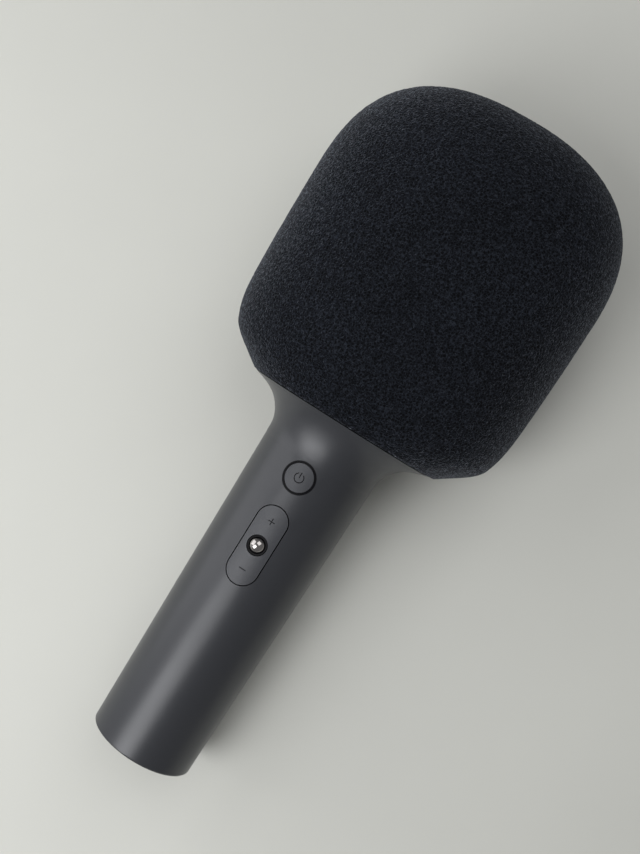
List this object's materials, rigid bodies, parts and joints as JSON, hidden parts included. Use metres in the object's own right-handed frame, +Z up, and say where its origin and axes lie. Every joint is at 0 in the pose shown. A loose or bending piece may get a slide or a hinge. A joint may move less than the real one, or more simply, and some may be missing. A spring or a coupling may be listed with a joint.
{
  "type": "karaoke microphone",
  "caption": "Handheld karaoke microphone: tapered round handle with power and volume keys, flared neck, and a wide foam-covered head that lifts off its speakers.",
  "frame": {"origin": "on the surface that the microphone lies on, under the middle of its bounding box", "axes": "+Z up, out of the side with the buttons; +Y from the tail towards the head; +X to the right of somebody who looks down at the buttons. The microphone's own axis rises towards the head by 5.1 degrees."},
  "size_m": [0.1077, 0.2473, 0.0704],
  "materials": {
    "satin_shell": "satin metallic grey paint, fine grain",
    "tail_plastic": "moulded, fine texture",
    "steel": "satin",
    "screw_steel": "zinc plated",
    "board_green": "solder mask over glass fibre",
    "chip_black": "moulded, matt",
    "frame_plastic": "moulded, fine texture",
    "inner_plastic": "moulded, matt",
    "cell_wrap": "shrink sleeve",
    "nickel": "plated",
    "key_grey": "satin metallic grey paint",
    "smoked": "smoked, polished",
    "chrome": "polished",
    "lens": "milky, translucent",
    "magnet": "plated",
    "cone_paper": "pressed paper",
    "soft_rubber": "matt",
    "wire": "matt sleeve",
    "basket": "moulded, matt",
    "foam": "open-cell foam, fine flecked grain",
    "switch_tan": "moulded, matt"
  },
  "bodies": {
    "handle": {"handle_shell": "satin_shell", "tail_cap": "tail_plastic", "usb_socket": "steel", "usb_board": "board_green", "charge_light": "lens", "chassis": "frame_plastic", "chassis_screws": "screw_steel", "battery_cell": "cell_wrap", "battery_tabs": "nickel", "main_board": "board_green", "bluetooth_module": "steel", "audio_processor": "chip_black", "power_amplifier": "chip_black", "filter_capacitors": "chip_black", "lead_socket": "lens", "board_standoffs": "nickel", "board_screws": "screw_steel", "button_board": "board_green", "power_switch": "steel", "volume_up_switch": "steel", "effect_switch": "steel", "volume_down_switch": "steel", "key_carrier": "inner_plastic", "rocker_pins": "steel", "power_light_ring": "smoked", "effect_bezel": "smoked", "head_base": "frame_plastic", "head_base_screws": "screw_steel", "cover_grip_ring": "soft_rubber", "speaker_box_front": "inner_plastic", "speaker_box_rear": "inner_plastic", "speaker_box_screws": "screw_steel", "front_driver_frame": "steel", "front_driver_magnet": "magnet", "rear_driver_frame": "steel", "rear_driver_magnet": "magnet", "capsule_post": "inner_plastic", "capsule_boot": "soft_rubber", "mic_capsule": "nickel", "capsule_lead": "wire", "speaker_leads": "wire"},
    "power_key": {"power_button": "key_grey"},
    "power_contact": {"power_plunger": "switch_tan"},
    "volume_key": {"volume_rocker": "key_grey"},
    "volume_up_contact": {"volume_up_plunger": "switch_tan"},
    "volume_down_contact": {"volume_down_plunger": "switch_tan"},
    "effect_key": {"effect_button": "chrome"},
    "effect_contact": {"effect_plunger": "switch_tan"},
    "front_diaphragm": {"front_driver_cone": "cone_paper", "front_driver_surround": "soft_rubber"},
    "rear_diaphragm": {"rear_driver_cone": "cone_paper", "rear_driver_surround": "soft_rubber"},
    "head_cover": {"basket_collar": "basket", "basket_front": "basket", "basket_rear": "basket", "windscreen_foam": "foam"}
  },
  "joints": [
    {"name": "power_press", "type": "slide", "parent": "handle", "child": "power_key", "axis": [0, 0.0891, -0.996], "range_m": [0, 0.00035], "stiffness_N_per_m": 800},
    {"name": "effect_press", "type": "slide", "parent": "handle", "child": "effect_key", "axis": [0, 0.0891, -0.996], "range_m": [0, 0.00035], "stiffness_N_per_m": 800},
    {"name": "volume_rock", "type": "hinge", "parent": "handle", "child": "volume_key", "pos_m": [0, -0.04126, 0.04106], "axis": [1, 0, 0], "range_deg": [-2, 2], "stiffness_Nm_per_rad": 0.13},
    {"name": "front_cone_travel", "type": "slide", "parent": "handle", "child": "front_diaphragm", "axis": [0, -0.0891, 0.996], "range_m": [-0.0008, 0.0008], "stiffness_N_per_m": 700},
    {"name": "rear_cone_travel", "type": "slide", "parent": "handle", "child": "rear_diaphragm", "axis": [0, 0.0891, -0.996], "range_m": [-0.0008, 0.0008], "stiffness_N_per_m": 700},
    {"name": "head_cover_pull", "type": "slide", "parent": "handle", "child": "head_cover", "axis": [0, 0.996, 0.0891], "range_m": [0, 0.115]},
    {"name": "power_contact_slide", "type": "slide", "parent": "handle", "child": "power_contact", "axis": [0, 0.0891, -0.996], "range_m": [0, 0.00035]},
    {"name": "effect_contact_slide", "type": "slide", "parent": "handle", "child": "effect_contact", "axis": [0, 0.0891, -0.996], "range_m": [0, 0.00035]},
    {"name": "volume_up_contact_slide", "type": "slide", "parent": "handle", "child": "volume_up_contact", "axis": [0, 0.0891, -0.996], "range_m": [-0.000315, 0.000315]},
    {"name": "volume_down_contact_slide", "type": "slide", "parent": "handle", "child": "volume_down_contact", "axis": [0, 0.0891, -0.996], "range_m": [-0.000315, 0.000315]}
  ],
  "couplings": [
    {"joint": "power_contact_slide", "follows": "power_press", "ratio": 1},
    {"joint": "effect_contact_slide", "follows": "effect_press", "ratio": 1},
    {"joint": "volume_up_contact_slide", "follows": "volume_rock", "m_per_rad": -0.009},
    {"joint": "volume_down_contact_slide", "follows": "volume_rock", "m_per_rad": 0.009}
  ]
}
